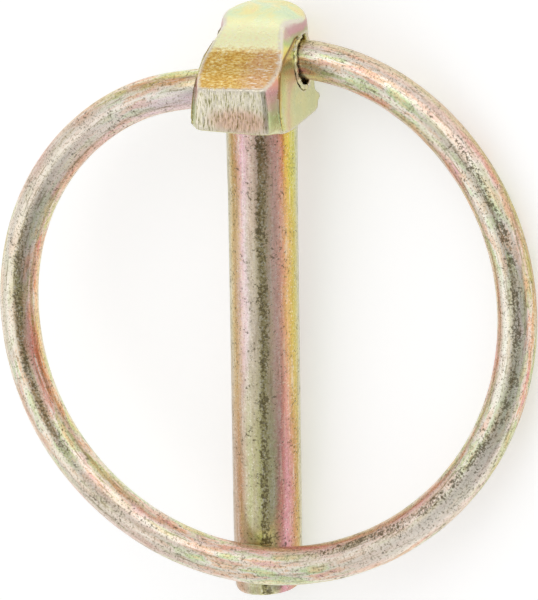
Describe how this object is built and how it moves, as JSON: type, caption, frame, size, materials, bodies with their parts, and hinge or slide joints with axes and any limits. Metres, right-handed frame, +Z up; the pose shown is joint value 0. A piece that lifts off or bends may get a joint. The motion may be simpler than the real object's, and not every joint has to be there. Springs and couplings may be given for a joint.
{
  "type": "lynch pin",
  "caption": "Forged lynch pin: round shank with a domed, hooked head whose slanted cross hole carries a sprung wire ring that snaps shut over the tip.",
  "frame": {"origin": "middle of the bounding box, on the table the pin lies on", "axes": "+Y from the tip towards the head, +X to the side of the higher ring end, +Z up, the way the nose of the head faces"},
  "size_m": [0.0484, 0.0528, 0.0137],
  "materials": {
    "pin_plating": "yellow chromate over zinc on forged steel, iridescent, finely pitted and drawn along the shank",
    "ring_plating": "yellow chromate over zinc on spring wire, pale and iridescent, finely pitted"
  },
  "bodies": {
    "pin": {"pin": "pin_plating"},
    "ring": {"ring": "ring_plating"}
  },
  "joints": [
    {"name": "ring_swing", "type": "hinge", "parent": "pin", "child": "ring", "pos_m": [-0.00094, 0.02037, 0.00519], "axis": [-0.9189, -0.3415, 0.1977], "range_deg": [0, 345]}
  ]
}
